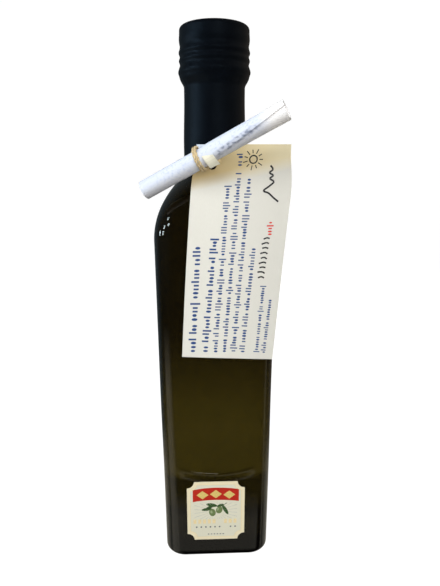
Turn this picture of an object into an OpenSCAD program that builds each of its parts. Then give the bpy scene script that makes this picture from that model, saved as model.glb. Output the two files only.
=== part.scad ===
// A 500 ml olive oil bottle: square, slightly tapered dark glass with a round
// neck, a black shrink capsule over its closure, a small sticker low on the
// front, and a card and a rolled leaflet tied on with twine round the neck.
// The origin is the centre of the base, +Z is up and the front faces -Y.

/* [Glass body] */
// Width of the square body at its foot
base_w = 56.2; // [46:0.1:70]
// Width of the square body where the shoulder starts
body_w = 59; // [48:0.1:72]
// Radius of the four upright corners
corner_r = 11; // [8:0.5:13]
// Height at which the shoulder starts to round over
shoulder_z = 172; // [140:1:205]
// Radius of the rounded shoulder
shoulder_r = 45; // [38:1:54]
// Radius of the hollow sweep from the shoulder into the neck
neck_sweep_r = 8; // [6:0.5:12]
// Radius of the heel round the base
heel_r = 2.5; // [1.5:0.5:4]
// Thickness of the glass in the sides
wall_t = 2.9; // [2.2:0.1:4]
// Thickness of the glass in the base
base_t = 7; // [5:0.5:10]

/* [Neck] */
// Width of the neck where it leaves the shoulder
neck_w = 29.7; // [24:0.1:36]
// Width of the neck just below the closure
neck_top_w = 28.4; // [24:0.1:31]
// Width of the threaded mouth inside the closure
mouth_w = 27.4; // [22:0.1:30]
// Width of the bore through the neck
bore_w = 21; // [17:0.5:23]
// Length of the glass neck, from the shoulder to the mouth
neck_len = 58; // [48:1:72]

/* [Capsule] */
// Width of the closure at its rim
closure_w = 33.4; // [31.5:0.1:38]
// Height of the closure, from its lower bead to its top
closure_h = 19.8; // [16:0.2:26]
// Thickness of the closure's top above the glass mouth
closure_top_t = 6; // [3:0.5:9]
// Depth of the two grooves round the closure
groove_depth = 0.35; // [0.2:0.05:0.6]
// How far the bead stands out from the rim
bead_out = 0.65; // [0.3:0.05:1.2]
// Thickness of the shrink film over the neck
film_t = 0.35; // [0.25:0.05:0.6]
// How far the film stops short of the foot of the neck
film_stop = 2.4; // [2.2:0.1:4]

/* [Sticker] */
// Width of the sticker
sticker_w = 31; // [24:0.5:36]
// Height of the sticker
sticker_h = 36; // [28:0.5:50]
// Thickness of the sticker
sticker_t = 0.2; // [0.15:0.05:0.4]
// Radius of the hollow bite out of each corner
sticker_bite_r = 3.8; // [2:0.2:5]
// Height of the sticker's middle above the base
sticker_z = 29; // [28:0.5:60]

/* [Card] */
// Width of the card
card_w = 43; // [34:0.5:52]
// Height of the card
card_h = 97; // [80:0.5:112]
// Thickness of the card
card_t = 0.4; // [0.3:0.05:0.6]
// Lean of the card's sides to the right, in degrees
card_slant = 5.3; // [0:0.1:8]
// Droop of the card's foot to the right, in degrees
card_droop = 0.7; // [0:0.1:4]
// Swing of the card's right side towards the front, in degrees
card_swing = 4.5; // [2:0.1:7]
// Tip of the card, back against the shoulder, in degrees
card_tip = 9.1; // [8:0.1:10]
// Width of the punched hole
hole_w = 4; // [3.4:0.1:6]

/* [Leaflet and twine] */
// Width of the rolled leaflet
roll_w = 9; // [7:0.2:11]
// Length of the rolled leaflet
roll_len = 73; // [60:0.1:90]
// Width of the hole down the middle of the roll
roll_bore_w = 4.4; // [3:0.2:5]
// Rise of the roll from left to right, in degrees
roll_rise = 26.8; // [15:0.1:32]
// Turn of the roll's right end towards the front, in degrees
roll_turn = 17.3; // [8:0.1:22]
// Width of the twine
twine_w = 1.6; // [1.2:0.1:2]
// Width of the folded slip at the knot
slip_w = 4.4; // [3:0.1:5]
// Height of the folded slip at the knot
slip_h = 5.4; // [3:0.1:6]

/* [Hidden] */
$fn = 48;

fit_gap = 0.05;         // between pieces that sit on each other
rest_gap = 0.3;         // between pieces that only lean on each other
corner_steps = 9;       // steps round each upright corner of the body
arc_steps = 7;          // steps up the shoulder
sweep_steps = 4;        // steps up the hollow sweep into the neck
heel_steps = 3;         // steps round the heel
strand_sides = 8;       // sides of a strand of twine
sticker_x = -0.8;       // middle of the sticker, to the left of the body's middle
card_left = -9;         // top left corner of the card, to the left of the middle
card_rise = 9.8;        // and above the foot of the neck
hole_in = 8;            // middle of the card's hole, from its left side
hole_down = 9.2;        // and from its top
roll_x = -1.9;          // middle of the roll, to the left of the neck's middle
roll_lift = 6.1;        // and above the foot of the neck
roll_stand = 3.15;      // from the card to the middle of the roll's back
tie_along = -6.4;       // where the twine crosses the roll, along it
tie_skew = -0.3;        // how far the twine crosses it aslant
tie_down = 3.5;         // where it passes the card's left side, from the top
slip_along = -2;        // where the slip lies, along the roll
slip_turn = 55;         // and how far below the roll's front
slip_t = 0.4;           // thickness of the folded slip

// Shoulder arc and neck sweep meet at an angle that follows from the widths.
// An inner profile has the same arc centre, so the wall keeps its thickness.
function meet(half, arc, sweep, neck) = acos(1 - (half - neck) / (arc + sweep));
function neck_start(half, arc, sweep, neck) =
    shoulder_z + (arc + sweep) * sin(meet(half, arc, sweep, neck));

neck_z = neck_start(body_w / 2, shoulder_r, neck_sweep_r, neck_w / 2);
mouth_z = neck_z + neck_len;
top_z = mouth_z + closure_top_t;
bead_z = top_z - closure_h;
film_z = neck_z + film_stop;
taper = (body_w - base_w) / 2 / shoulder_z;

bore_r = bore_w / 2;
inner_arc = shoulder_r - wall_t;
inner_sweep = neck_sweep_r + wall_t;

// The card leans on the front of the shoulder, and its top is tied to the neck
card_touch_z = shoulder_z + shoulder_r * sin(card_tip);
card_touch_y = -body_w / 2 + shoulder_r * (1 - cos(card_tip)) - rest_gap;
card_top_z = neck_z + card_rise;

// Place on the card: across it from its left side, down it from its top, and
// through it from 0 at the front to 1 at the back
function card_at(across, down, depth) =
    [card_left + across - down * tan(card_slant),
     card_touch_y + (card_top_z - down - card_touch_z) * tan(card_tip)
         - across * tan(card_swing) - (1 - depth) * card_t,
     card_top_z - down - across * down / card_h * tan(card_droop)];

// Half width of the body's glass at a height below the shoulder
function side(z) = base_w / 2 + z * taper;

// One level of the loft: height, half width, corner radius, and how round it is
function shoulder_levels(half, corner, arc, sweep, neck) =
    let (a = meet(half, arc, sweep, neck))
    concat(
        [for (i = [0:arc_steps])
            let (b = a * i / arc_steps, h = half - arc * (1 - cos(b)))
            [shoulder_z + arc * sin(b), h, corner, roundness(h, half, neck)]],
        [for (i = [1:sweep_steps])
            let (b = a * (1 - i / sweep_steps), h = neck + sweep * (1 - cos(b)))
            [neck_start(half, arc, sweep, neck) - sweep * sin(b), h,
             min(corner, h - 1), roundness(h, half, neck)]]);

function roundness(h, half, neck) = pow((half - h) / (half - neck), 1.5);

// Point i of a level: a rounded square that blends into a circle
function rim_point(level, i) =
    let (q = floor(i / (corner_steps + 1)),
         k = i % (corner_steps + 1),
         h = level[1],
         c = level[2],
         t = level[3],
         a = 90 * (q + k / corner_steps),
         b = 90 * (q + (k + 0.5) / (corner_steps + 1)),
         sx = (q == 0 || q == 3) ? 1 : -1,
         sy = q < 2 ? 1 : -1)
    [(1 - t) * (sx * (h - c) + c * cos(a)) + t * h * cos(b),
     (1 - t) * (sy * (h - c) + c * sin(a)) + t * h * sin(b),
     level[0]];

// Closed skin over a stack of rings that all have n points
function skin_faces(rings, n) = concat(
    [[for (i = [0:n - 1]) i]],
    [for (r = [0:rings - 2]) for (i = [0:n - 1])
        [r * n + i, (r + 1) * n + i, (r + 1) * n + (i + 1) % n]],
    [for (r = [0:rings - 2]) for (i = [0:n - 1])
        [r * n + i, (r + 1) * n + (i + 1) % n, r * n + (i + 1) % n]],
    [[for (i = [n - 1:-1:0]) (rings - 1) * n + i]]);

module loft(levels) {
    n = 4 * (corner_steps + 1);
    points = [for (level = levels) for (i = [0:n - 1]) rim_point(level, i)];
    polyhedron(points = points, faces = skin_faces(len(levels), n), convexity = 4);
}

function heel_levels(foot_z, inset, r) =
    [for (i = [0:heel_steps])
        let (a = 90 * i / heel_steps,
             z = foot_z + r * (1 - cos(a)),
             pull = inset + r * (1 - sin(a)))
        [z, side(z) - pull, corner_r - pull, 0]];

function glass_levels() = concat(
    heel_levels(0, 0, heel_r),
    shoulder_levels(body_w / 2, corner_r, shoulder_r, neck_sweep_r, neck_w / 2),
    [[bead_z - 4, neck_top_w / 2, neck_top_w / 2 - 1, 1],
     [bead_z, mouth_w / 2, mouth_w / 2 - 1, 1],
     [mouth_z, mouth_w / 2, mouth_w / 2 - 1, 1]]);

// The hollow inside the glass, drawn in by a gap and filled to a height
function hollow_levels(gap, top) = concat(
    heel_levels(base_t + gap, wall_t + gap, 2 * heel_r),
    shoulder_levels(body_w / 2 - wall_t - gap, corner_r - wall_t - gap,
                    inner_arc - gap, inner_sweep + gap, bore_r - gap),
    [[top, bore_r - gap, bore_r - 1, 1]]);

module bottle() {
    color([0.16, 0.14, 0.05]) difference() {
        loft(glass_levels());
        loft(hollow_levels(0, mouth_z + 1));
    }
}

// Oil fills the hollow up to the underside of the closure
module olive_oil() {
    color([0.45, 0.40, 0.10]) loft(hollow_levels(fit_gap, mouth_z - fit_gap));
}

// Closure and shrink film are one piece: a grooved cap over the mouth, a bead
// at its lower edge and a thin sleeve down the neck
module capsule() {
    rim_r = closure_w / 2;
    edge = 0.8;
    ring = closure_h / 4;
    film_r = neck_w / 2 + fit_gap + film_t;
    film_top_r = neck_top_w / 2 + fit_gap + film_t;
    outer = concat(
        [[0, top_z], [rim_r - edge, top_z], [rim_r, top_z - edge]],
        [for (i = [2, 3]) each groove(rim_r, top_z - (i - 0.3) * ring)],
        [[rim_r - groove_depth, bead_z + 3.6],
         [rim_r + bead_out, bead_z + 1],
         [rim_r + bead_out, bead_z - 0.4],
         [rim_r, bead_z - 2.4],
         [film_top_r, bead_z - 5.6],
         [film_r, (bead_z + film_z) / 2 - 6],
         [film_r, film_z]]);
    inner = [[film_r - film_t, film_z],
             [film_r - film_t, (bead_z + film_z) / 2 - 6],
             [film_top_r - film_t, bead_z - 4],
             [mouth_w / 2 + fit_gap, bead_z],
             [mouth_w / 2 + fit_gap, mouth_z + fit_gap],
             [0, mouth_z + fit_gap]];
    color([0.08, 0.09, 0.11]) rotate_extrude() polygon(concat(outer, inner));
}

// A shallow groove in an upright outline, centred on height z
function groove(r, z) =
    [[r, z + 1.1], [r - groove_depth, z + 0.3], [r - groove_depth, z - 0.3], [r, z - 1.1]];

// Sticker on the flat front, which leans out with the taper of the body
module sticker() {
    color([0.93, 0.90, 0.80])
        translate([sticker_x, -side(sticker_z) - fit_gap, sticker_z])
            rotate([90 + atan(taper), 0, 0])
                linear_extrude(sticker_t) difference() {
                    square([sticker_w, sticker_h], center = true);
                    for (x = [-1, 1]) for (z = [-1, 1])
                        translate([x * sticker_w / 2, z * sticker_h / 2])
                            circle(sticker_bite_r);
                }
}

// The roll lies across the front of the card, just above the foot of the film.
// Its own axes run down across it, back through it and along it.
roll_mid = card_at(roll_x - card_left, card_rise - roll_lift, 0) - [0, roll_w / 2 + roll_stand, 0];
roll_down = [sin(roll_rise) * cos(roll_turn), -sin(roll_rise) * sin(roll_turn), -cos(roll_rise)];
roll_back = [sin(roll_turn), cos(roll_turn), 0];
roll_along = [cos(roll_rise) * cos(roll_turn), -cos(roll_rise) * sin(roll_turn), sin(roll_rise)];

// Place beside the roll: an angle round it from its top towards its front, a
// distance from its axis and a distance along it
function by_roll(a, r, along) =
    roll_mid - r * cos(a) * roll_down - r * sin(a) * roll_back + along * roll_along;

module on_roll() {
    translate(roll_mid) rotate([0, 0, -roll_turn]) rotate([0, 90 - roll_rise, 0]) children();
}

module leaflet_roll() {
    color([0.90, 0.92, 0.97]) on_roll() difference() {
        cylinder(d = roll_w, h = roll_len, center = true);
        cylinder(d = roll_bore_w, h = roll_len + 2, center = true);
    }
}

module card() {
    corners = [[0, card_h], [card_w, card_h], [card_w, 0], [0, 0]];
    points = [for (depth = [0, 1]) for (c = corners) card_at(c[0], c[1], depth)];
    color([0.92, 0.89, 0.80]) difference() {
        hull() polyhedron(points = points, faces = [[0, 1, 2, 3], [7, 6, 5, 4],
            [0, 4, 5, 1], [1, 5, 6, 2], [2, 6, 7, 3], [3, 7, 4, 0]]);
        translate(card_at(hole_in, hole_down, 0) + [0, 3, 0])
            rotate([90, 0, 0]) cylinder(d = hole_w, h = 6);
    }
}

// A round strand swept along a list of places
function unit(v) = v / norm(v);

function strand_ring(path, i) =
    let (d = unit(path[min(i + 1, len(path) - 1)] - path[max(i - 1, 0)]),
         s = unit(cross(d, roll_along)),
         t = cross(d, s))
    [for (k = [0:strand_sides - 1])
        let (a = 360 * k / strand_sides)
        path[i] + twine_w / 2 * (cos(a) * s + sin(a) * t)];

module strand(path) {
    points = [for (i = [0:len(path) - 1]) each strand_ring(path, i)];
    polyhedron(points = points, faces = skin_faces(len(path), strand_sides), convexity = 4);
}

// The twine goes round the neck, forward past the left of the card, down over
// the front of the roll and back through the hole in the card to the neck
module twine() {
    loop_r = neck_w / 2 + fit_gap + twine_w / 2;
    loop_z = film_z - fit_gap - twine_w / 2;
    over_r = (roll_w + twine_w) / 2 + fit_gap;
    tie = function (a) [loop_r * cos(a), loop_r * sin(a), loop_z];
    hole = card_at(hole_in, hole_down, 0.5);
    past_card = card_at(0, tie_down, 0.5) - [twine_w / 2 + rest_gap, 0, 0];
    path = concat(
        [tie(218), past_card],
        [for (a = [-15:15:195]) by_roll(a, over_r, tie_along - tie_skew * cos(a))],
        [hole, tie(276)]);
    color([0.80, 0.68, 0.45]) {
        translate([0, 0, loop_z])
            rotate_extrude() translate([loop_r, 0]) circle(d = twine_w);
        strand(path);
    }
}

// A folded slip tucked under the twine, flat against the lower front of the roll
module slip() {
    color([0.97, 0.95, 0.84]) on_roll()
        rotate([0, 0, slip_turn])
            translate([0, -roll_w / 2 - slip_t / 2 - fit_gap, slip_along])
                cube([slip_h, slip_t, slip_w], center = true);
}

bottle();
olive_oil();
capsule();
sticker();
card();
leaflet_roll();
twine();
slip();
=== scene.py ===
import math
import random

import bmesh
import bpy
from mathutils import Matrix, Vector


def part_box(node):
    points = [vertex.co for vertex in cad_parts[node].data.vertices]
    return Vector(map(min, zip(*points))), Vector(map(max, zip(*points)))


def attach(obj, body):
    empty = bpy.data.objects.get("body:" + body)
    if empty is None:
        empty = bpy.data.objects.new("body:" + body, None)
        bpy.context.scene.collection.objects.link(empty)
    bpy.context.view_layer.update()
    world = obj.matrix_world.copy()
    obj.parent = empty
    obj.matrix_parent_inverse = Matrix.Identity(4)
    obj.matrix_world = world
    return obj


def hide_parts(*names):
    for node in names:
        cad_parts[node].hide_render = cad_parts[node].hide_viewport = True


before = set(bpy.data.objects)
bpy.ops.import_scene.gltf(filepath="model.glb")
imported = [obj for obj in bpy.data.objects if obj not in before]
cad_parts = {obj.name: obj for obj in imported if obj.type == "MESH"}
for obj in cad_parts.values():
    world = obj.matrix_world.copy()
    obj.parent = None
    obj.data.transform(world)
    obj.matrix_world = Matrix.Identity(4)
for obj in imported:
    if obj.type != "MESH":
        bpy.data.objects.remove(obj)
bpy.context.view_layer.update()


# ---- Glass body ---------------------------------------------------------------
# One blown and pressed piece of dark olive-green glass: a square body that tapers
# to its foot, a rounded shoulder, a round neck and a heavy base with a shallow
# push-up. A low moulded ledge crosses the front above the sticker.

MM = 0.001


def size_of(node):
    """Lowest and highest corner of a solid, in millimetres."""
    low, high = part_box(node)
    return low / MM, high / MM


class Wire:
    """A value that runs between shader nodes. Arithmetic on it adds Math nodes."""

    def __init__(self, finish, socket):
        self.finish = finish
        self.socket = socket

    def maths(self, operation, *values):
        return self.finish.node("Math", {"operation": operation}, dict(enumerate(values)))

    def __add__(self, other):
        return self.maths("ADD", self, other)

    def __radd__(self, other):
        return self.maths("ADD", other, self)

    def __sub__(self, other):
        return self.maths("SUBTRACT", self, other)

    def __rsub__(self, other):
        return self.maths("SUBTRACT", other, self)

    def __mul__(self, other):
        return self.maths("MULTIPLY", self, other)

    def __rmul__(self, other):
        return self.maths("MULTIPLY", other, self)

    def __truediv__(self, other):
        return self.maths("DIVIDE", self, other)

    def __abs__(self):
        return self.maths("ABSOLUTE", self)

    def clamped(self):
        return self.maths("MINIMUM", self.maths("MAXIMUM", self, 0.0), 1.0)


class Finish:
    """A finish being mixed: node() adds a shader node, and the rest are recipes."""

    def __init__(self, tree):
        self.tree = tree
        tree.nodes.clear()

    def node(self, kind, settings=None, inputs=None, output=0):
        """Add a node: first its settings, then the values or links of its sockets."""
        node = self.tree.nodes.new("ShaderNode" + kind)
        for key, value in (settings or {}).items():
            setattr(node, key, value)
        for key, value in (inputs or {}).items():
            if isinstance(value, Wire):
                self.tree.links.new(value.socket, node.inputs[key])
            else:
                node.inputs[key].default_value = value
        return Wire(self, node.outputs[output] if node.outputs else None)

    def place(self):
        return self.node("TexCoord", output=3)

    def along(self, direction, start=(0, 0, 0)):
        """Distance in millimetres from a start, along a direction."""
        away = self.node("VectorMath", {"operation": "SUBTRACT"},
                         {0: self.place(), 1: Vector(start) * MM})
        return self.node("VectorMath", {"operation": "DOT_PRODUCT"},
                         {0: away, 1: Vector(direction) / MM}, 1)

    def noise(self, grain, detail=2.0, stretch=(1, 1, 1)):
        """Soft noise whose patches are about grain millimetres across."""
        stretched = self.node("Mapping", None, {0: self.place(), 3: stretch})
        return self.node("TexNoise", None,
                         {"Vector": stretched, "Scale": 1 / (grain * MM), "Detail": detail})

    def mix(self, share, first, second):
        colours = {6: first, 7: second}
        for key, value in colours.items():
            if not isinstance(value, Wire):
                colours[key] = (*value, 1.0)
        return self.node("Mix", {"data_type": "RGBA"}, {0: share, **colours}, 2)

    def bump(self, height, depth, strength=1.0):
        """Relief of a height wire, depth millimetres deep."""
        return self.node("Bump", None,
                         {"Height": height, "Distance": depth * MM, "Strength": strength})

    def coat(self, colour, roughness, volume=None, **others):
        """The surface itself, and for a clear piece what is inside it."""
        if not isinstance(colour, Wire):
            colour = (*colour, 1.0)
        sockets = {name.replace("_", " "): value for name, value in others.items()}
        skin = self.node("BsdfPrincipled", None,
                         {"Base Color": colour, "Roughness": roughness, **sockets})
        inputs = {"Surface": skin}
        if volume:
            depth_colour, density = volume
            inputs["Volume"] = self.node("VolumeAbsorption", None,
                                         {"Color": (*depth_colour, 1.0), "Density": density})
        self.node("OutputMaterial", None, inputs)


def new_finish(name):
    material = bpy.data.materials.new(name)
    material.use_nodes = True
    finish = Finish(material.node_tree)
    finish.material = material
    return finish


def new_mesh(name, points, faces, finish):
    """A mesh from places in millimetres, with all its faces turned the same way."""
    mesh = bpy.data.meshes.new(name)
    mesh.from_pydata([Vector(point) * MM for point in points], [], faces)
    shape = bmesh.new()
    shape.from_mesh(mesh)
    bmesh.ops.recalc_face_normals(shape, faces=shape.faces)
    shape.to_mesh(mesh)
    shape.free()
    mesh.materials.append(finish.material)
    return mesh


def add_piece(name, points, faces, finish, slot, replaced=(), sharp=40):
    """A piece that is fixed to the bottle, smooth but for its sharp edges."""
    mesh = new_mesh(name, points, faces, finish)
    mesh.shade_smooth()
    mesh.set_sharp_from_angle(angle=math.radians(sharp))
    piece = bpy.data.objects.new(name, mesh)
    bpy.context.scene.collection.objects.link(piece)
    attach(piece, "root")
    if replaced:
        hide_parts(*replaced)
    return piece


def skin(rings):
    """Points and faces of a closed skin over rings that all have as many points."""
    count = len(rings[0])
    points = [point for ring in rings for point in ring]
    faces = []
    for r in range(len(rings) - 1):
        for i in range(count):
            j = (i + 1) % count
            faces.append((r * count + i, r * count + j, (r + 1) * count + j, (r + 1) * count + i))
    for start, ring in ((0, rings[0]), ((len(rings) - 1) * count, rings[-1])):
        points.append(sum((Vector(point) for point in ring), Vector()) / count)
        faces += [(start + i, start + (i + 1) % count, len(points) - 1) for i in range(count)]
    return points, faces


def eased(share):
    share = min(max(share, 0.0), 1.0)
    return share * share * (3 - 2 * share)


def blend(low, high, share):
    return low + (high - low) * share


glass_high = size_of("bottle")[1]
foot_half = 28.4
body_half = glass_high.x + 0.3
corner_r = 11.0
shoulder_z = 172.0
shoulder_r = 45.0
fuller = 0.45
lean = 0.3
lean_low = 40
lean_high = 212
sweep_r = 8.0
neck_half = 14.85
mouth_half = 13.7
mouth_z = glass_high.z
heel_r = 2.5
push_up = 2.4
stand_half = 24.0
wall = 2.9
base_t = 7.0
bore_half = 10.5
inner_heel = 6.0
shoulder_steps = 28
sweep_steps = 12
ledge_z = 51.9
ledge_out = 0.45
ledge_dip = 5.5
ledge_half = 22
ledge_fade = 5.5
arc_steps = 16
flat_steps = 14


def side_half(z):
    return blend(foot_half, body_half, z / shoulder_z)


def glass_ring(z, half, corner, roundness, ledge=0.0):
    """A level of the bottle: a square with round corners that turns into a circle."""
    ring = []
    for quarter in range(4):
        for step in range(arc_steps + flat_steps):
            flat = half - corner
            if step <= arc_steps:
                angle = math.radians(90 * step / arc_steps)
                square = Vector((flat + corner * math.cos(angle),
                                 flat + corner * math.sin(angle)))
            else:
                square = Vector((flat * (1 - 2 * (step - arc_steps) / flat_steps), half))
            angle = math.radians(45 + (step - arc_steps / 2) * 90 / (arc_steps + flat_steps))
            circle = half * Vector((math.cos(angle), math.sin(angle)))
            point = square.lerp(circle, roundness)
            point.rotate(Matrix.Rotation(math.radians(90 * quarter), 2))
            across = min(abs(point.x), abs(point.y))
            above = z - ledge_z
            step_out = eased(0.5 - above) * eased((above + ledge_fade) / 5)
            step_out *= eased((ledge_half - across) / 6)
            on_face = eased((-point.y - abs(point.x)) / 4)
            lift = ledge_dip * (across / 24) ** 2 * eased(1 - abs(above) / 14) if ledge else 0
            point *= 1 + ledge * step_out * on_face / half
            lift *= on_face
            leaning = lean * eased((z - lean_low) / 60) * eased((lean_high - z) / 20)
            ring.append((point.x - leaning, point.y, z + lift))
    return ring


def shoulder_levels(half, arc, sweep, neck):
    """Height, half width and roundness from the shoulder's foot up to the neck."""
    top = math.acos(1 - (half - neck) / (arc + sweep))
    neck_z = shoulder_z + (arc + sweep) * math.sin(top)
    levels = []
    for step in range(shoulder_steps + 1):
        angle = top * step / shoulder_steps
        full = fuller * math.sin(math.pi * step / shoulder_steps)
        levels.append((shoulder_z + arc * math.sin(angle), half + full - arc * (1 - math.cos(angle))))
    for step in range(1, sweep_steps + 1):
        angle = top * (1 - step / sweep_steps)
        levels.append((neck_z - sweep * math.sin(angle), neck + sweep * (1 - math.cos(angle))))
    return [(z, h, max((half - h) / (half - neck), 0) ** 1.5) for z, h in levels]


def hollow_rings(grow):
    """The hollow inside the glass, grown by an amount, from its floor to the mouth."""
    rings = []
    floor = base_t - grow
    for share in (0.12, 0.4, 0.7):
        half = share * (side_half(floor) - wall - inner_heel)
        rings.append(glass_ring(floor + push_up * (1 - share ** 2) * 0.6, half, half * 0.5, 1 - share))
    for step in range(9):
        angle = math.radians(90 * step / 8)
        z = floor + inner_heel * (1 - math.cos(angle))
        inset = wall - grow + inner_heel * (1 - math.sin(angle))
        rings.append(glass_ring(z, side_half(z) - inset, max(corner_r - inset, 3.0), 0))
    for step in range(1, 24):
        z = blend(floor + inner_heel, shoulder_z, step / 24)
        rings.append(glass_ring(z, side_half(z) - wall + grow, corner_r - wall + grow, 0))
    for z, half, roundness in shoulder_levels(body_half - wall + grow, shoulder_r - wall + grow,
                                              sweep_r + wall - grow, bore_half + grow):
        corner = min(corner_r - wall + grow, half - 0.5)
        rings.append(glass_ring(z, half, corner, roundness))
    return rings


def glass_rings():
    rings = []
    for share in (0.08, 0.35, 0.6, 0.8, 0.93, 1.0):
        half = share * stand_half
        rings.append(glass_ring(push_up * (1 - share ** 2), half, half * 0.45, 1 - share))
    for step in range(1, 11):
        angle = math.radians(90 * step / 10)
        z = heel_r * (1 - math.cos(angle))
        inset = heel_r * (1 - math.sin(angle))
        rings.append(glass_ring(z, side_half(z) - inset, corner_r - inset, 0))
    heights = [blend(heel_r, ledge_z - 6, step / 20) for step in range(1, 21)]
    heights += [ledge_z + blend(-6, -1, step / 12) for step in range(1, 13)]
    heights += [ledge_z + blend(-1, 1, step / 16) for step in range(1, 17)]
    heights += [blend(ledge_z + 1, shoulder_z, step / 36) for step in range(1, 36)]
    for z in heights:
        rings.append(glass_ring(z, side_half(z), corner_r, 0, ledge_out))
    for z, half, roundness in shoulder_levels(body_half, shoulder_r, sweep_r, neck_half):
        rings.append(glass_ring(z, half, min(corner_r, half - 0.5), roundness))
    film_top = mouth_z - 18
    for z, half in ((film_top, 14.2), (film_top + 4, mouth_half), (mouth_z - 1, mouth_half),
                    (mouth_z, mouth_half - 1), (mouth_z, bore_half + 0.6)):
        rings.append(glass_ring(z, half, half * 0.5, 1))
    return rings + hollow_rings(0)[::-1]


glass_finish = new_finish("olive_green_glass")
wobble = glass_finish.noise(26, 1.0, (1, 1, 0.5))
up_glass = glass_finish.along((0, 0, 1))
to_front = glass_finish.along((0, -1, 0))
# Painted shade: the glass is coloured darker towards the top, standing in for the shade over its upper
# body.
higher = ((up_glass - 76) / 50).clamped()
tint_and_painted_shade = glass_finish.mix(higher, (1.0, 0.97, 0.90), (0.375, 0.335, 0.25))
# Painted shade: a darker band is painted on the front wall just under the ledge.
shade_under_ledge = ((ledge_z - 1.4 - up_glass) / 2.5).clamped()
on_front_wall = ((to_front - 20) / 4).clamped()
tint_and_painted_shade = glass_finish.mix(shade_under_ledge * on_front_wall, tint_and_painted_shade, (0.36, 0.35, 0.34))
green_depth = (0.515, 0.495, 0.365)
glass_finish.coat(tint_and_painted_shade, 0.015, volume=(green_depth, 1000.0), Transmission_Weight=1.0, IOR=1.5,
                  Normal=glass_finish.bump(wobble, 0.5, 0.5))
add_piece("glass_bottle", *skin(glass_rings()), glass_finish, "green_glass", ["bottle"])


# ---- Oil ----------------------------------------------------------------------
# Green-gold olive oil fills the bottle. It wets the glass all over, so its skin
# reaches a little way into the wall, and no air shows between the two.

oil_finish = new_finish("olive_oil_fill")
gold_depth = (0.93, 0.905, 0.66)
wetting = 0.12
oil_finish.coat((0.98, 0.97, 0.85), 0.0, volume=(gold_depth, 95.0), Transmission_Weight=1.0,
                IOR=1.47)
add_piece("oil_fill", *skin(hollow_rings(wetting)), oil_finish, "oil", ["olive_oil"])


# ---- Capsule ------------------------------------------------------------------
# A sleeve of matte black shrink film over the screw closure and the neck. Heat
# has drawn it tight: the closure's two rings and its lower bead show through, it
# gathers in fine pleats where it narrows, and its free hem is a little uneven.

film_low, film_high = size_of("capsule")
film_foot_z = film_low.z
film_top_z = film_high.z
bead_z = film_top_z - 20.1
rim_half = 16.75
edge_r = 1.9
film_t = 0.3
spokes = 144
# Each ring or groove of the rim: how far above the bead, how far out, how tall.
rim_shape = ((0, 0.75, 1.7), (3.2, -0.18, 0.9), (5.0, 0.34, 0.9), (6.8, -0.16, 0.8),
             (8.6, 0.40, 1.0), (11.3, -0.22, 1.2), (14.3, 0.18, 1.8))
pleats = random.Random(7)
pleat_waves = [(pleats.randint(14, 46), pleats.uniform(0, math.tau), pleats.uniform(0.3, 1))
               for _ in range(7)]


def swell(z, middle, spread):
    return math.exp(-((z - middle) / spread) ** 2)


def film_half(z):
    """Half width of the film at a height."""
    neck = neck_half + 0.5 * eased((film_top_z - 31 - z) / 22) - 0.05 * eased((218 - z) / 8)
    rim = rim_half + sum(out * swell(z, bead_z + up, spread) for up, out, spread in rim_shape)
    return blend(neck, rim, eased((z - bead_z + 6.9) / 4.6))


def film_ring(z, half, pleat=0.0, hem=0.0):
    ring = []
    for spoke in range(spokes):
        angle = math.tau * spoke / spokes
        wave = sum(size * math.sin(count * angle + phase) for count, phase, size in pleat_waves)
        r = half + pleat * wave
        low = hem * math.sin(3 * angle + 1) + hem * 0.5 * math.sin(7 * angle)
        ring.append((r * math.cos(angle), r * math.sin(angle), z + low))
    return ring


def film_rings():
    rings = []
    for half, drop in ((1, 0.4), (8, 0.4), (12.6, 0.36), (13.6, 0.2), (14.2, 0.05), (14.6, 0.0)):
        rings.append(film_ring(film_top_z - drop, half))
    for step in range(1, 9):
        angle = math.radians(90 * step / 8)
        rings.append(film_ring(film_top_z - edge_r * (1 - math.cos(angle)),
                               rim_half - edge_r * (1 - math.sin(angle))))
    heights = [blend(film_top_z - edge_r - 0.3, bead_z - 8, step / 64) for step in range(65)]
    heights += [blend(bead_z - 8, film_foot_z, step / 26) for step in range(1, 27)]
    for z in heights:
        pleat = 0.035 * swell(z, bead_z - 5.2, 1.9) + 0.012 * swell(z, film_foot_z, 5)
        pleat += 0.006 * swell(z, bead_z + 5.2, 3)
        rings.append(film_ring(z, film_half(z), pleat, 0.18 * eased((film_foot_z + 3 - z) / 3)))
    for z in (film_foot_z, film_foot_z + 12, bead_z - 7):
        rings.append(film_ring(z, film_half(z) - film_t, 0, 0.18 * swell(z, film_foot_z, 1)))
    rings.append(film_ring(bead_z, mouth_half + 0.1))
    rings.append(film_ring(mouth_z + 0.1, mouth_half + 0.1))
    return rings


film_finish = new_finish("black_shrink_film")
film_grain = film_finish.noise(0.35, 3.0)
film_patch = film_finish.noise(9, 3.0)
film_colour = film_finish.mix(film_patch, (0.0008, 0.0010, 0.0018), (0.0017, 0.0021, 0.0033))
film_rough = 0.40 + 0.14 * film_patch
film_relief = film_finish.bump(film_grain + 1.5 * film_patch, 0.05, 0.35)
film_finish.coat(film_colour, film_rough, Normal=film_relief, Specular_IOR_Level=0.24,
                 Specular_Tint=(0.48, 0.72, 1.0, 1.0))
add_piece("shrink_capsule", *skin(film_rings()), film_finish, "black_film", ["capsule"], sharp=50)


# ---- Card ---------------------------------------------------------------------
# A cream card, cut by hand and so a little out of square, with a punched hole. It
# hangs on the twine and leans back on the shoulder, its foot clear of the glass.

card_high = size_of("card")[1]
card_w = 43.0
card_h = 97.0
card_t = 0.4
card_left = card_high.x - card_w
card_slope = Vector((math.tan(math.radians(5.3)), math.tan(math.radians(9.1)), 1.0))
card_swing = math.tan(math.radians(4.5))
card_droop = math.tan(math.radians(0.7))
hole_in = 8.0
hole_down = 9.2
hole_w = 4.0


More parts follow.
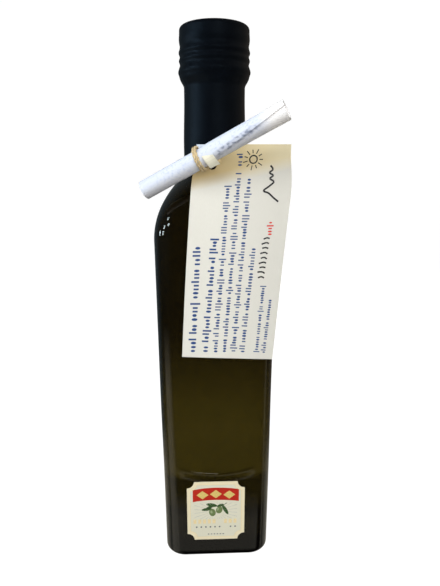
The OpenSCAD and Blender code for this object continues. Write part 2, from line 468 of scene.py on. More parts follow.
def card_at(across, down, depth=0.0):
    """A place on the card, in from its left side and down from its top, and how far
    through it from the front, in millimetres."""
    bow = 0.4 * math.sin(math.pi * down / card_h) + 0.4 * math.sin(math.pi * across / card_w)
    curl = 0.3 * eased((across - 24) / 19) * eased((down - 62) / 35)
    return Vector((card_left + across - down * card_slope.x,
                   card_high.y - down * card_slope.y - across * card_swing - card_t + depth
                   - bow - curl,
                   card_high.z - down - across * down / card_h * card_droop))


def cut_edge(across, down):
    """The hand-cut sides are not quite straight: they swell a little under the roll."""
    left = -eased(down / 20) + 2.0 * max((down - 22) / 75, 0) ** 1.5
    right = 1.9 * eased(down / 20) - 1.4 * max((down - 25) / 72, 0) ** 0.7
    return across + left * eased(1 - across / 4) + right * eased((across - card_w + 4) / 4)


def card_mesh():
    """A thin sheet with a round hole: a grid whose squares near the hole are pulled
    to its rim, doubled front and back and closed round its edges."""
    steps_in = 44
    steps_down = 98
    kept = {}
    points = []
    faces = []
    hole_r = hole_w / 2

    def corner(i, j, side):
        key = (i, j, side)
        if key not in kept:
            across = card_w * i / steps_in
            down = card_h * j / steps_down
            away = Vector((across - hole_in, down - hole_down))
            if away.length < hole_r + 0.75:
                away = away.normalized() * (hole_r if away.length > 0 else 0)
            spot = Vector((hole_in, hole_down)) + away
            kept[key] = len(points)
            points.append(card_at(cut_edge(*spot), spot.y, side * card_t))
        return kept[key]

    def inside(i, j):
        middle = Vector((card_w * (i + 0.5) / steps_in - hole_in,
                         card_h * (j + 0.5) / steps_down - hole_down))
        return middle.length < hole_r

    def present(i, j):
        return 0 <= i < steps_in and 0 <= j < steps_down and not inside(i, j)

    for i in range(steps_in):
        for j in range(steps_down):
            if not present(i, j):
                continue
            square = [(i, j), (i + 1, j), (i + 1, j + 1), (i, j + 1)]
            faces.append([corner(*c, 0) for c in square])
            faces.append([corner(*c, 1) for c in reversed(square)])
            for k, (di, dj) in enumerate(((0, -1), (1, 0), (0, 1), (-1, 0))):
                if not present(i + di, j + dj):
                    a = square[k]
                    b = square[(k + 1) % 4]
                    faces.append([corner(*a, 1), corner(*b, 1), corner(*b, 0), corner(*a, 0)])
    return points, faces


def paper_finish(name, light, dark, grain=0.5):
    """Uncoated paper: faint mottling, fibres and a soft tooth."""
    finish = new_finish(name)
    mottle = finish.noise(7, 3.0)
    fibre = finish.noise(grain, 4.0, (1, 1, 0.35))
    finish.paper = finish.mix((0.35 * mottle + 0.65 * fibre).clamped(), dark, light)
    finish.relief = finish.bump(fibre, 0.06, 0.5)
    return finish


card_finish = paper_finish("cream_card", (0.70, 0.69, 0.635), (0.63, 0.615, 0.56))
from_top = card_finish.along((0, 0, -1), (0, 0, card_high.z))
from_left = card_finish.along((1, 0, 0), (card_left, 0, 0))
# Painted shadow: a warm tan band under the roll, weaker towards the right, stands in for the roll's
# shadow on the card. The paper also gets darker towards the right.
painted_roll_shadow = ((20.5 - 0.22 * from_left - from_top) / 6).clamped()
shadow_falloff = (1.12 - 0.006 * from_left).clamped()
skylit_corner_paint = ((5.0 - 0.5 * from_left - from_top) / 1.5).clamped()
to_right = ((from_left - 8) / 30).clamped()
card_colour = card_finish.mix(to_right * 0.6, card_finish.paper, (0.54, 0.53, 0.485))
tan = card_finish.mix(to_right, (0.65, 0.51, 0.27), (0.81, 0.71, 0.46))
card_colour = card_finish.mix(painted_roll_shadow * shadow_falloff, card_colour, tan)
# Painted light: the corner above the roll is painted bluish white, as if lit by the sky.
card_colour = card_finish.mix(skylit_corner_paint, card_colour, (0.61, 0.68, 0.80))
card_finish.coat(card_colour, 0.85, Normal=card_finish.relief, Specular_IOR_Level=0.3)
add_piece("hanging_card", *card_mesh(), card_finish, "card_paper", ["card"], sharp=30)


# ---- Print on the card ----------------------------------------------------------
# Blue, black and red ink on the card. Plain ticks and blots stand for lines of small
# print, which run up the card, and a ring with rays and a few pen strokes for the
# marks drawn by hand.

ink_t = 0.03
ink_sunk = 0.02


def add_inlay(name, outlines, place, finish, slot, layer=0):
    """Thin raised shapes: each outline is a loop of places on a surface, and
    place(across, down, lift) gives a point on it or just above it. What is printed
    over something else is a layer higher."""
    points = []
    faces = []
    for outline in outlines:
        start = len(points)
        count = len(outline)
        points += [place(*spot, layer * ink_t - ink_sunk) for spot in outline]
        points += [place(*spot, layer * ink_t + ink_t) for spot in outline]
        faces.append([start + i for i in range(count)])
        faces.append([start + count + i for i in reversed(range(count))])
        for i in range(count):
            j = (i + 1) % count
            faces.append((start + i, start + j, start + count + j, start + count + i))
    return add_piece(name, points, faces, finish, slot, sharp=20)


def on_card(across, down, lift):
    return card_at(across, down, -lift)


def stroke(start, end, width, end_width=None):
    """A straight stroke between two places."""
    start = Vector(start)
    end = Vector(end)
    aside = (end - start).orthogonal().normalized() / 2
    tail = width if end_width is None else end_width
    return [start + aside * width, start - aside * width, end - aside * tail, end + aside * tail]


def rounded(middle, half_along, half_across, forward):
    """A small rounded blot, longer or shorter along the line of print."""
    aside = Vector((-forward.y, forward.x))
    return [middle + forward * (half_along * math.cos(math.tau * k / 10))
            + aside * (half_across * math.sin(math.tau * k / 10)) for k in range(10)]


def print_line(start, end, height, weight, pace, seed):
    """Rows of plain ticks and blots, gathered in groups, from one place to another.
    The tops of the ticks are to the left, because the rows run up the card."""
    dice = random.Random(seed)
    start = Vector(start)
    end = Vector(end)
    length = (end - start).length
    forward = (end - start) / length
    upward = Vector((forward.y, -forward.x))
    marks = []
    reached = weight
    while reached < length - pace:
        for _ in range(dice.randint(2, 9)):
            if reached > length - weight:
                break
            foot = start + forward * reached
            kind = dice.random()
            if kind < 0.62:
                middle = foot + upward * height * dice.uniform(0.28, 0.38)
                marks.append(rounded(middle, pace * dice.uniform(0.28, 0.38),
                                     height * dice.uniform(0.28, 0.40), forward))
            else:
                top = height * (0.66 if kind < 0.75 else 1.0)
                low = -height * 0.3 if kind > 0.93 else 0.0
                marks.append(stroke(foot + upward * low, foot + upward * top, weight))
            reached += pace * dice.uniform(0.85, 1.05)
        reached += pace * 0.7
    return marks


def curve_spot(before, a, b, after, t):
    """A place on the smooth curve from a to b, a share t of the way along it."""
    return 0.5 * (2 * a + (b - before) * t + (2 * before - 5 * a + 4 * b - after) * t ** 2
                  + (3 * a - before - 3 * b + after) * t ** 3)


def pen_curve(spots, width):
    """A pen line through a few places, in short strokes."""
    line = []
    for i in range(len(spots) - 1):
        before = Vector(spots[max(i - 1, 0)])
        a = Vector(spots[i])
        b = Vector(spots[i + 1])
        after = Vector(spots[min(i + 2, len(spots) - 1)])
        line += [curve_spot(before, a, b, after, step / 6) for step in range(6)]
    line.append(Vector(spots[-1]))
    marks = []
    for i in range(len(line) - 1):
        if (line[i + 1] - line[i]).length > 1e-4:
            marks.append(stroke(line[i], line[i + 1], width))
    return marks


def ink(name, colour):
    finish = new_finish(name)
    patchy = finish.noise(0.8, 2.0)
    finish.coat(finish.mix(patchy, tuple(c * 0.8 for c in colour), tuple(c * 1.25 for c in colour)),
                0.6)
    return finish


blue_ink = ink("blue_print_ink", (0.018, 0.055, 0.19))
black_ink = ink("black_pen_ink", (0.012, 0.012, 0.016))
red_ink = ink("red_print_ink", (0.55, 0.03, 0.025))

blue_marks = (print_line((7.2, 94.8), (5.6, 44.5), 3.6, 0.82, 1.85, 1)
              + print_line((12.8, 94.6), (12.9, 38.9), 3.1, 0.76, 1.65, 2))
for start, end, seed in (((17.4, 94.4), (16.8, 17.4), 3), ((21.6, 94.2), (21.5, 11.4), 4),
                         ((21.4, 9.6), (21.3, 3.0), 10), ((25.8, 94.0), (26.2, 14.3), 5),
                         ((30.1, 94.2), (31.1, 43.1), 6)):
    blue_marks += print_line(start, end, 2.6, 0.54, 1.35, seed)
for start, end, seed in (((36.5, 94.0), (36.9, 62.3), 7), ((39.9, 94.2), (40.7, 68.6), 8)):
    blue_marks += print_line(start, end, 2.2, 0.44, 1.15, seed)
add_inlay("blue_print", blue_marks, on_card, blue_ink, "card_paper")

ring_middle = Vector((26.4, 6.6))
ring_r = 1.7
ray_count = 11


def compass(share):
    """A direction, from a share of a full turn."""
    return Vector((math.cos(math.tau * share), math.sin(math.tau * share)))


ring_spots = [ring_middle + ring_r * compass(i / 20) for i in range(21)]
rays = [stroke(ring_middle + 2.7 * compass(i / ray_count),
               ring_middle + (4.3 + 0.5 * (i % 2)) * compass(i / ray_count), 0.42)
        for i in range(ray_count)]
date_strokes = []
pen = random.Random(12)
for i in range(9):
    down = 59.5 - 2.2 * i
    across = 34.8 + 0.12 * i
    date_strokes += pen_curve([(across + 1.3, down + pen.uniform(-0.3, 0.3)), (across, down - 0.6),
                               (across - 1.5 - 0.6 * (i % 2), down + pen.uniform(-0.6, 0.2))], 0.68)
flourish = pen_curve([(34.4, 9.2), (35.7, 11.0), (34.2, 12.4), (36.1, 13.6), (34.6, 15.0),
                      (36.6, 16.4), (34.6, 18.4), (32.2, 20.4), (34.6, 21.4), (37.0, 23.4),
                      (39.4, 25.2)], 0.8)
add_inlay("pen_marks", pen_curve(ring_spots, 0.6) + rays + date_strokes + flourish, on_card,
          black_ink, "card_paper")
add_inlay("red_print", print_line((37.7, 40.3), (37.5, 32.7), 2.4, 0.62, 1.35, 9), on_card, red_ink,
          "card_paper")


# ---- Sticker --------------------------------------------------------------------
# A small die-cut paper sticker, pressed flat on the front of the body, with a bite
# out of each corner. It is printed with plain fields: a red arched band with three
# lozenges, a sprig with two olives, rows in gold and grey, and faint rays.

sticker_low, sticker_high = size_of("sticker")
sticker_half = Vector((sticker_high.x - sticker_low.x, sticker_high.z - sticker_low.z)) / 2
sticker_x = (sticker_low.x + sticker_high.x) / 2
sticker_z = (sticker_low.z + sticker_high.z) / 2
bite_r = 3.8
sticker_t = 0.14


def on_front(across, up, lift):
    """A place on the sticker, from its middle, and how far it stands off."""
    z = sticker_z + up
    return Vector((sticker_x + across, -side_half(z) - sticker_t - lift, z))


def bitten(inset, bite):
    """Outline of the sticker, drawn in by an inset."""
    half = sticker_half - Vector((inset, inset))
    outline = []
    for sx, sy in ((1, 1), (-1, 1), (-1, -1), (1, -1)):
        arc = []
        for step in range(13):
            angle = math.radians(90 * step / 12)
            arc.append((sx * (half.x - bite * math.cos(angle)), sy * (half.y - bite * math.sin(angle))))
        outline += arc if sx * sy < 0 else arc[::-1]
    return outline


def frame_strip(inset, bite, width):
    """A closed line that follows the sticker's outline, as short strokes."""
    loop = bitten(inset, bite)
    return [stroke(loop[i], loop[(i + 1) % len(loop)], width) for i in range(len(loop))]


def oval(middle, half_long, half_wide, turn, pointed=0.0, count=28):
    """An oval, or a pointed leaf, turned by an angle in degrees."""
    spots = []
    for i in range(count):
        angle = math.tau * i / count
        wide = half_wide * abs(math.sin(angle)) ** (1 + pointed) * math.copysign(1, math.sin(angle))
        spot = Vector((half_long * math.cos(angle), wide))
        spot.rotate(Matrix.Rotation(math.radians(turn), 2))
        spots.append(Vector(middle) + spot)
    return spots


def arched_band(half_w, low, high, rise):
    """A band whose top and bottom bow upwards in the middle."""
    top = [(half_w * (1 - i / 10), high + rise * (1 - (1 - i / 10) ** 2)) for i in range(21)]
    low_side = [(half_w * (i / 10 - 1), low + rise * 0.8 * (1 - (1 - i / 10) ** 2)) for i in range(21)]
    return top + low_side


sticker_paper = paper_finish("sticker_paper", (0.88, 0.80, 0.58), (0.83, 0.74, 0.51))
sticker_paper.coat(sticker_paper.paper, 0.5, Normal=sticker_paper.relief)
sticker_inner = paper_finish("sticker_panel", (0.78, 0.76, 0.62), (0.72, 0.70, 0.56))
sticker_inner.coat(sticker_inner.paper, 0.5, Normal=sticker_inner.relief)
edge = bitten(0, bite_r)
sheet = [on_front(*spot, -sticker_t - 0.05) for spot in edge] + [on_front(*spot, 0) for spot in edge]
count = len(edge)
sheet_faces = [list(range(count)), [count + i for i in reversed(range(count))]]
sheet_faces += [(i, (i + 1) % count, count + (i + 1) % count, count + i) for i in range(count)]
add_piece("front_sticker", sheet, sheet_faces, sticker_paper, "sticker_paper", ["sticker"], sharp=20)
panel_in = 1.7
panel_bite = bite_r - 0.2
add_inlay("sticker_panel", [bitten(panel_in, panel_bite)], on_front, sticker_inner, "sticker_paper")

band_red = ink("band_red", (0.48, 0.020, 0.010))
lozenge_cream = ink("lozenge_cream", (0.70, 0.53, 0.17))
row_gold = ink("row_gold", (0.82, 0.68, 0.38))
row_grey = ink("row_grey", (0.09, 0.10, 0.12))
ray_grey = ink("ray_grey", (0.56, 0.57, 0.50))
leaf_green = ink("leaf_green", (0.045, 0.10, 0.03))
olive_green = ink("olive_green", (0.15, 0.21, 0.08))
olive_light = ink("olive_light", (0.32, 0.40, 0.22))

ray_strokes = []
for i in range(30):
    out = compass((i + 0.5) / 30)
    reach = min(11.5 / max(abs(out.x), 0.01), 4.9 / max(abs(out.y), 0.01))
    if reach > 4.9:
        ray_strokes.append(stroke(out * 4.2, out * reach, 0.08, 0.32))
add_inlay("sticker_rays", ray_strokes, on_front, ray_grey, "sticker_paper", 1)
add_inlay("sticker_frame_line", frame_strip(panel_in, panel_bite, 0.22), on_front, row_gold,
          "sticker_paper", 1)
add_inlay("sticker_band", [arched_band(12.4, 5.9, 13.2, 1.2)], on_front, band_red, "sticker_paper", 1)
lozenges = [[(x - 3.2, up), (x, up - 2.5), (x + 3.2, up), (x, up + 2.5)]
            for x, up in ((-7.2, 10.0), (0.0, 10.5), (7.2, 10.0))]
add_inlay("sticker_lozenges", lozenges, on_front, lozenge_cream, "sticker_paper", 2)
leaves = [oval((-2.2, 3.7), 3.1, 1.1, 168, 0.4), oval((-5.0, 1.1), 2.8, 0.95, 188, 0.4),
          oval((5.0, 0.8), 3.6, 1.0, -62, 0.4), oval((2.4, 3.4), 2.0, 0.8, 20, 0.4),
          oval((-3.4, 2.3), 2.1, 0.8, 200, 0.4)]
twig = pen_curve([(-2.5, 2.6), (0.6, 3.0), (3.4, 3.4), (6.0, 4.9)], 0.35)
add_inlay("sticker_leaves", leaves + twig, on_front, leaf_green, "sticker_paper", 1)
add_inlay("sticker_olives", [oval((-1.9, -0.9), 2.3, 1.8, 100), oval((1.8, 0.6), 2.2, 1.75, 70)],
          on_front, olive_green, "sticker_paper", 2)
add_inlay("sticker_olive_shine", [oval((-2.4, -0.6), 0.9, 0.6, 100), oval((1.1, 1.1), 0.85, 0.55, 70)],
          on_front, olive_light, "sticker_paper", 3)
gold_row = [stroke((x - 0.8, -6.5), (x + 0.8, -6.5), 2.6)
            for x in (-11.4, -8.8, -6.2, -3.6, -1.0, 5.2, 7.8, 10.4)]
add_inlay("sticker_gold_row", gold_row, on_front, row_gold, "sticker_paper", 1)
grey_row = [stroke((x - 0.4, -10.0), (x + 0.4, -10.0), 0.8)
            for x in (-10.5, -8, -5.5, -3, -0.5, 2, 8, 10.5)]
grey_row += [stroke((x - 0.35, -14.6), (x + 0.35, -14.6), 0.55)
             for x in (-4, -2.4, -0.8, 0.8, 2.4, 4)]
add_inlay("sticker_grey_row", grey_row, on_front, row_grey, "sticker_paper", 1)


# ---- Rolled leaflet ---------------------------------------------------------------
# A thin white sheet rolled up tight round nothing, about five turns, and slightly
# askew: its free edge winds along the roll, and its ends step like a telescope.
# The print inside shows through as faint blue marks. The twine holds it.

roll_low, roll_high = size_of("leaflet_roll")
roll_mid = (roll_low + roll_high) / 2
roll_w = 9.0
roll_len = 73.0
rise = math.radians(26.8)
turn = math.radians(17.3)
roll_down = Vector((math.sin(rise) * math.cos(turn), -math.sin(rise) * math.sin(turn), -math.cos(rise)))
roll_back = Vector((math.sin(turn), math.cos(turn), 0))
roll_along = Vector((math.cos(rise) * math.cos(turn), -math.cos(rise) * math.sin(turn), math.sin(rise)))
sheet_t = 0.11
turns = 5.2
turn_steps = 40
inner_r = 2.3
edge_front = 126
edge_lifts = 56
edge_steps_back = 70
tie_along = -6.4


def by_roll(angle, r, along):
    """A place round the roll: degrees from its top towards its front, distance from
    its axis and distance along it."""
    angle = math.radians(angle)
    return (roll_mid - roll_down * (r * math.cos(angle)) - roll_back * (r * math.sin(angle))
            + roll_along * along)


def roll_mesh():
    """The wound sheet: a spiral strip with an inner and an outer face."""
    steps = int(turns * turn_steps)
    lengths = 60
    points = []
    faces = []
    pitch = (roll_w / 2 - inner_r - sheet_t) / turns
    for s in range(lengths + 1):
        share = s / lengths
        free_edge = edge_front - edge_lifts * max((share - 0.5) / 0.5, 0) ** 1.3
        free_edge += edge_steps_back * eased((0.5 - share) / 0.08)
        for k in range(steps + 1):
            wound = k / steps
            angle = free_edge - (1 - wound) * turns * 360
            end_step = 1.3 * (1 - wound) * math.sin(2.4 * wound * turns)
            along = (share - 0.5) * (roll_len + 0.6) - abs(end_step) * (1 if share > 0.5 else -1)
            r = inner_r + pitch * turns * wound
            r += 0.10 * math.sin(3 * share * math.pi + wound * 9) * (1 - abs(share - 0.4)) * 0.5
            squeeze = 0.22 * swell(along, tie_along, 3.5)
            r -= squeeze * wound
            flare = 0.12 * eased((share - 0.75) / 0.25) * wound
            flare += 0.24 * eased((wound - 0.97) / 0.03) * eased((share - 0.45) / 0.1)
            points.append(by_roll(angle, r + flare, along))
            points.append(by_roll(angle, r + flare + sheet_t, along))
    row = 2 * (steps + 1)
    for s in range(lengths):
        for k in range(steps):
            a = s * row + 2 * k
            b = a + 2
            c = b + row
            d = a + row
            faces.append((a, d, c, b))
            faces.append((a + 1, b + 1, c + 1, d + 1))
    for s in range(lengths):
        for k in (0, steps):
            a = s * row + 2 * k
            faces.append((a, a + 1, a + 1 + row, a + row))
    for s in (0, lengths):
        for k in range(steps):
            a = s * row + 2 * k
            faces.append((a, a + 2, a + 3, a + 1))
    return points, faces


roll_finish = paper_finish("leaflet_paper", (0.72, 0.76, 0.86), (0.64, 0.69, 0.81), grain=0.7)
rows = roll_finish.along(roll_down, roll_mid)
beyond = roll_finish.along(roll_along, roll_mid)
ghost = roll_finish.noise(1.15, 3.0)
shows = ((ghost - 0.53) * 9).clamped()
ends = (1 - (abs(beyond) - 22) / 12).clamped()
roll_colour = roll_finish.mix(shows * ends * 0.42, roll_finish.paper, (0.42, 0.50, 0.72))
# Painted shade: the lower half of the roll is painted darker and warmer, away from the light above, and
# it is painted lighter towards its far end.
lower = ((rows - 0.8) / 2.2).clamped()
far_end = ((beyond - 24) / 6).clamped()
roll_colour = roll_finish.mix(lower * 0.35, roll_colour, (0.66, 0.62, 0.58))
roll_colour = roll_finish.mix(far_end * 0.85, roll_colour, (0.95, 0.93, 0.92))
printed = roll_finish.noise(1.7, 0.5, (1, 1, 1.6))
slanted = rows - 2.6 + 0.10 * beyond
print_band = (2 - abs(slanted) / 0.8).clamped() * (2 - abs(beyond - 12) / 8).clamped()
smudged = 0.25 + ((printed - 0.45) * 5).clamped() * 0.6
roll_colour = roll_finish.mix(smudged * print_band, roll_colour, (0.20, 0.23, 0.33))
roll_finish.coat(roll_colour, 0.7, Normal=roll_finish.relief, Specular_IOR_Level=0.3)
add_piece("rolled_leaflet", *roll_mesh(), roll_finish, "leaflet_paper", ["leaflet_roll"], sharp=50)


# ---- Twine ------------------------------------------------------------------------
# Natural jute twine, two strands twisted together with loose fibres standing out.
# It goes round the neck under the film, past the left of the card, over the roll
# and back through the card's hole, and a cut end sticks out of the knot.

twine_w = 1.6
strand_r = twine_w * 0.29
lay_len = 4.4
tie_r = 0.36
end_r = 0.3
fuzz_r = 0.03
rest_gap = 0.05
loop_r = neck_half + rest_gap + twine_w / 2
loop_z = film_foot_z - rest_gap - twine_w / 2
over_r = (roll_w + twine_w) / 2 + rest_gap
tie_skew = -0.3


def neck_place(angle):
    angle = math.radians(angle)
    return Vector((loop_r * math.cos(angle), loop_r * math.sin(angle), loop_z))


def smooth_path(spots, closed=False, gap=0.35):
    """Even steps along a smooth curve through a list of places."""
    count = len(spots)
    fine = []
    for i in range(count if closed else count - 1):
        near = [spots[(i + k) % count] if closed else spots[min(max(i + k, 0), count - 1)]
                for k in (-1, 0, 1, 2)]
        fine += [curve_spot(*near, step / 12) for step in range(12)]
    fine.append(spots[0] if closed else spots[-1])
    path = [fine[0]]
    for spot in fine[1:]:
        while (spot - path[-1]).length >= gap:
            path.append(path[-1] + (spot - path[-1]).normalized() * gap)
    return path


def strand_rings(path, r, twist_r, phase, sides=8):
    """Rings of one strand that winds round a path."""
    rings = []
    reached = 0.0
    before = path[0]
    aside = None
    for i, spot in enumerate(path):
        heading = (path[min(i + 1, len(path) - 1)] - path[max(i - 1, 0)]).normalized()
        if aside is None:
            aside = heading.orthogonal().normalized()
        aside = (aside - heading * aside.dot(heading)).normalized()
        across = heading.cross(aside)
        reached += (spot - before).length
        before = spot
        wind = math.tau * reached / lay_len + phase
        middle = spot + twist_r * (math.cos(wind) * aside + math.sin(wind) * across)
        uneven = r * (1 + 0.10 * math.sin(reached * 3.1 + phase) + 0.06 * math.sin(reached * 7.7))
        rings.append([middle + uneven * (math.cos(math.tau * k / sides) * aside
                                         + math.sin(math.tau * k / sides) * across)
                      for k in range(sides)])
    return rings


def joined(parts):
    """Several meshes as one list of points and faces."""
    points = []
    faces = []
    for part_points, part_faces in parts:
        start = len(points)
        points += part_points
        faces += [tuple(start + i for i in face) for face in part_faces]
    return points, faces


hole = card_at(hole_in - 0.6, hole_down, card_t / 2)
past_card = card_at(0, 3.5, card_t / 2) - Vector((twine_w / 2 + 0.3, 0, 0))


def tie_over_roll(beside):
    """The tie from the neck, round the front of the roll, into the card's hole."""
    over = [by_roll(a, over_r - 0.15, tie_along + beside - tie_skew * math.cos(math.radians(a)))
            for a in range(-15, 196, 15)]
    return smooth_path([neck_place(218), past_card + Vector((beside, 0, 0.3))] + over
                       + [hole + Vector((beside * 0.6, 0, 0)), neck_place(276)])


neck_path = smooth_path([neck_place(a) for a in range(0, 360, 15)], closed=True)
end_path = smooth_path([hole + Vector((0.3, -0.6, 0.3)), by_roll(176, over_r - 0.1, -1.0),
                        by_roll(160, over_r - 0.1, 1.6), by_roll(156, over_r + 0.3, 3.0)])
strands = []
tie_paths = [tie_over_roll(-0.55), tie_over_roll(0.6)]
for path, r in ((tie_paths[0], tie_r), (tie_paths[1], tie_r), (neck_path, strand_r),
                (end_path, end_r)):
    for phase in (0, math.pi):
        strands.append(skin(strand_rings(path, r, r * 0.86, phase)))
fuzz = random.Random(21)
for path in (*tie_paths, neck_path, end_path):
    for _ in range(int(len(path) * 0.55)):
        root = path[fuzz.randrange(1, len(path) - 1)]
        out = Vector((fuzz.gauss(0, 1), fuzz.gauss(0, 1), fuzz.gauss(0, 1))).normalized()
        tip = root + out * fuzz.uniform(0.9, 1.7)
        bend = (root + tip) / 2 + 0.25 * out.orthogonal()
        strands.append(skin(strand_rings(smooth_path([root, bend, tip], gap=0.3), fuzz_r, 0, 0, 3)))
twine_finish = new_finish("jute_twine")
fibre = twine_finish.noise(0.25, 3.0)
shade = twine_finish.noise(2.5, 2.0)
jute = twine_finish.mix(((fibre - 0.3) * 2.5).clamped(), (0.38, 0.25, 0.10), (0.86, 0.74, 0.50))
jute = twine_finish.mix(shade * 0.35, jute, (0.74, 0.60, 0.37))
twine_finish.coat(jute, 0.9, Normal=twine_finish.bump(fibre, 0.12, 0.8), Specular_IOR_Level=0.2)
add_piece("jute_tie", *joined(strands), twine_finish, "twine_fibre", ["twine"])


# ---- Slip ---------------------------------------------------------------------------
# A small slip of cream paper, folded double, tucked in at the knot. It bends with
# the roll that it lies on.

slip_corners = ((92, -3.9), (112, 0.9), (166, -3.6), (164, 1.2))


def slip_mesh():
    """Four layers of a folded slip, each a grid between the same four corners. A
    corner is in degrees round the roll and millimetres along it."""
    points = []
    faces = []
    steps = 10
    top_left, top_right, low_left, low_right = (Vector(corner) for corner in slip_corners)
    for layer, lift in enumerate((0.10, 0.34, 0.46, 0.72)):
        for i in range(steps + 1):
            for j in range(steps + 1):
                upper = top_left.lerp(top_right, i / steps)
                lower = low_left.lerp(low_right, i / steps)
                angle, along = upper.lerp(lower, j / steps)
                open_up = 0.4 * eased((i / steps - 0.55) / 0.45) * layer / 3 + 1.1 * (j / steps) ** 2
                points.append(by_roll(angle, roll_w / 2 + 0.08 + lift + open_up, along + 0.12 * layer))
    side = steps + 1

    def at(layer, i, j):
        return layer * side * side + i * side + j

    for low, high in ((0, 1), (2, 3)):
        for i in range(steps):
            for j in range(steps):
                for layer in (low, high):
                    faces.append((at(layer, i, j), at(layer, i + 1, j), at(layer, i + 1, j + 1),
                                  at(layer, i, j + 1)))
        for i in range(steps):
            for a, b in (((i, 0), (i + 1, 0)), ((i, steps), (i + 1, steps)),
                         ((0, i), (0, i + 1)), ((steps, i), (steps, i + 1))):
                faces.append((at(low, *a), at(low, *b), at(high, *b), at(high, *a)))
    return points, faces


slip_finish = paper_finish("slip_paper", (0.98, 0.95, 0.80), (0.92, 0.89, 0.72))
creases = slip_finish.along(roll_down, roll_mid)
# Painted shade: darker lines along the folds of the slip.
painted_crease_shade = (1 - abs(creases - 2.4) / 0.22).clamped() + (1 - abs(creases - 3.7) / 0.18).clamped()
slip_colour = slip_finish.mix(painted_crease_shade * 0.3, slip_finish.paper, (0.62, 0.58, 0.44))
slip_finish.coat(slip_colour, 0.7, Normal=slip_finish.relief)
add_piece("folded_slip", *slip_mesh(), slip_finish, "slip_paper", ["slip"], sharp=50)


# ---- Studio ---------------------------------------------------------------------------
# A pale seamless floor that doesn't show in the gloss, soft light from the upper
# left, a dim room that does, and a camera held close in front of the bottle, a
# little above its shoulder and tipped down.

camera_turn = math.radians(2.5)
camera_tip = math.radians(14.87)
camera_place = Vector((2.9, -269.8, 205.0))
camera_place.rotate(Matrix.Rotation(-camera_turn, 3, "Z"))
camera_data = bpy.data.cameras.new("camera")
camera_data.sensor_fit = "VERTICAL"
camera_data.sensor_height = 24.0
camera_data.lens = 21.0246
camera_data.shift_x = -0.0007
camera_data.shift_y = 0.0308
camera_data.clip_start = 0.01
camera = bpy.data.objects.new("camera", camera_data)
camera.location = camera_place * MM
camera.rotation_euler = (math.pi / 2 - camera_tip, 0, -camera_turn)
bpy.context.scene.collection.objects.link(camera)
bpy.context.scene.camera = camera
bpy.context.scene.view_settings.view_transform = "Standard"

stage_finish = new_finish("pale_stage")
stage_grain = stage_finish.noise(40, 2.0)
stage_finish.coat(stage_finish.mix(stage_grain, (0.13, 0.13, 0.13), (0.15, 0.15, 0.15)), 0.9,
                  Emission_Color=(1, 1, 1, 1), Emission_Strength=0.975, Specular_IOR_Level=0.0)
stage_r = 900
cove_r = 450
wall_top = 2200
stage_spokes = 96
cove = [(stage_r * step / 6, 0) for step in range(1, 7)]
for step in range(1, 13):
    angle = math.radians(90 * step / 12)
    cove.append((stage_r + cove_r * math.sin(angle), cove_r * (1 - math.cos(angle))))
cove.append((stage_r + cove_r, wall_top))
stage_points, stage_faces = skin([[(*(r * compass(k / stage_spokes)), z) for k in range(stage_spokes)]
                                  for r, z in cove])
stage_mesh = new_mesh("pale_stage", stage_points, stage_faces[:-stage_spokes], stage_finish)
for face in stage_mesh.polygons:
    if face.center.z < 1e-6 and face.normal.z < 0:
        face.flip()
stage = bpy.data.objects.new("pale_stage", stage_mesh)
stage.visible_glossy = False
stage.visible_diffuse = False
stage.visible_shadow = False
bpy.context.scene.collection.objects.link(stage)


def add_lamp(name, place, target, width, height, power, colour=(1, 1, 1), mirrored=False):
    """A soft box, aimed at a place. Only a mirrored one shows in the gloss."""
    data = bpy.data.lights.new(name, "AREA")
    data.shape = "RECTANGLE"
    data.size = width * MM
    data.size_y = height * MM
    data.energy = power
    data.color = colour
    lamp = bpy.data.objects.new(name, data)
    lamp.location = Vector(place) * MM
    lamp.rotation_euler = (Vector(target) - Vector(place)).to_track_quat("-Z", "Y").to_euler()
    lamp.visible_camera = False
    lamp.visible_glossy = mirrored
    lamp.visible_transmission = False
    bpy.context.scene.collection.objects.link(lamp)


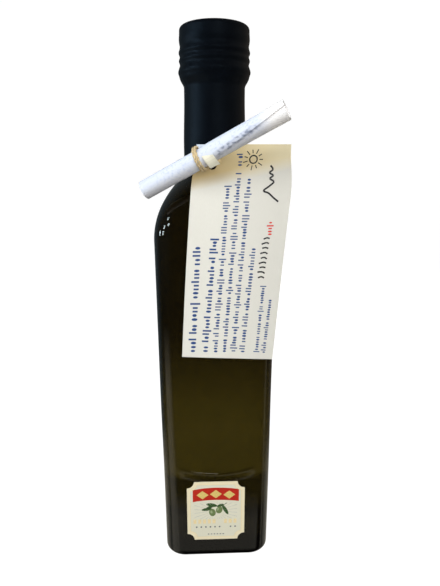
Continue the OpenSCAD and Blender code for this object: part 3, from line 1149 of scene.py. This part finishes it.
add_lamp("key_box", (-250, -480, 740), (0, 0, 170), 450, 450, 4.8, (1.0, 0.995, 0.985))
add_lamp("front_fill", (150, -850, 260), (0, 0, 150), 600, 600, 4.2, (1.0, 0.99, 0.97))
add_lamp("back_fill", (300, 700, 500), (0, 0, 150), 600, 600, 3.0)
add_lamp("front_strip", (150, -700, 490), (0, 0, 52), 300, 120, 0.36, (1.0, 0.96, 0.84), True)
window_x = -600
pane_w = 75
daylight = (0.76, 0.92, 1.0)
panes = ((20, 250), (-190, 265), (-200, 390), (-430, 520), (-230, 620))
for pane, (along_wall, up_wall) in enumerate(panes):
    add_lamp(f"window_pane_{pane}", (window_x, along_wall, up_wall), (0, 0, 180), pane_w, pane_w,
             0.24, daylight, True)

world = bpy.data.worlds.new("soft_room")
bpy.context.scene.world = world
world.use_nodes = True
room = Finish(world.node_tree)
direction = room.node("TexCoord", output=0)
sideways, forward, upward = (room.node("SeparateXYZ", None, {0: direction}, axis) for axis in range(3))
behind = ((forward - 0.1) / 0.6).clamped() * 0.12
not_under = ((upward + 0.93) / 0.1).clamped()
beside = ((forward + 0.64) / 0.25).clamped() * ((0.10 - forward) / 0.22).clamped()
table_left = beside * (sideways * -8).clamped() * ((upward + 0.30) / -0.10).clamped()
table_right = beside * ((forward + 0.2) * 8).clamped() * (sideways * 8).clamped()
table_back = ((forward - 0.06) / 0.12).clamped() * ((upward + 0.47) / -0.06).clamped()
table_front = ((-0.4 - forward) * 8).clamped() * ((upward + 0.575) / -0.04).clamped()
table_front = table_front * ((upward + 0.70) / 0.03).clamped()
low = table_left * 0.60 + table_right * 0.45 + table_back * 0.30 + table_front * 0.36
walls = ((sideways - 0.45) * 3).clamped() * 0.14 + ((sideways + 0.45) * -3).clamped() * 0.05
level_up = ((upward + 0.3) / 0.15).clamped()
room_level = 0.03 + behind + low * not_under + walls * level_up
room_tint = room.mix((sideways * 0.8 + 0.5).clamped(), (0.66, 0.88, 1.0), (1.0, 0.86, 0.72))
room_tint = room.mix((low * 6).clamped(), room_tint, (1.0, 0.95, 0.80))
backdrop = room.node("Background", None, {"Color": room_tint, "Strength": room_level})
room.node("OutputWorld", None, {"Surface": backdrop})
